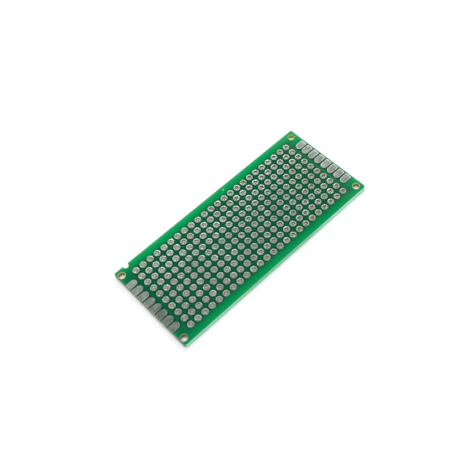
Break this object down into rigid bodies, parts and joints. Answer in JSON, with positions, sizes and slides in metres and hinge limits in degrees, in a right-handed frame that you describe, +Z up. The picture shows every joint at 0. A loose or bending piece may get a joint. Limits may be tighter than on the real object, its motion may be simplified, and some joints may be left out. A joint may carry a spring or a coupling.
{
  "type": "prototype board",
  "caption": "Rectangular double-sided prototype board with a grid of plated lead holes, edge pads at both ends and corner mounting holes.",
  "frame": {"origin": "centre of the board's outline, on the plane that the underside's pads touch", "axes": "+X along the length towards the full-length edge pads, +Y towards the notched long edge, +Z up through the holes"},
  "size_m": [0.069, 0.0298, 0.0016],
  "materials": {
    "laminate": "sawn glass fibre",
    "solder_mask": "glossy film",
    "tinned_holes": "hot tinned",
    "tinned_edge_pads": "hot tinned, dull"
  },
  "bodies": {
    "root": {"laminate": "laminate", "solder_mask_top": "solder_mask", "solder_mask_bottom": "solder_mask", "eyelets_row_a": "tinned_holes", "eyelets_row_b": "tinned_holes", "eyelets_row_c": "tinned_holes", "eyelets_row_d": "tinned_holes", "eyelets_row_e": "tinned_holes", "eyelets_row_f": "tinned_holes", "eyelets_row_g": "tinned_holes", "eyelets_row_h": "tinned_holes", "eyelets_row_i": "tinned_holes", "eyelets_row_j": "tinned_holes", "edge_pads_left_top": "tinned_edge_pads", "edge_pads_left_bottom": "tinned_edge_pads", "edge_pads_right_top": "tinned_edge_pads", "edge_pads_right_bottom": "tinned_edge_pads"}
  },
  "joints": []
}
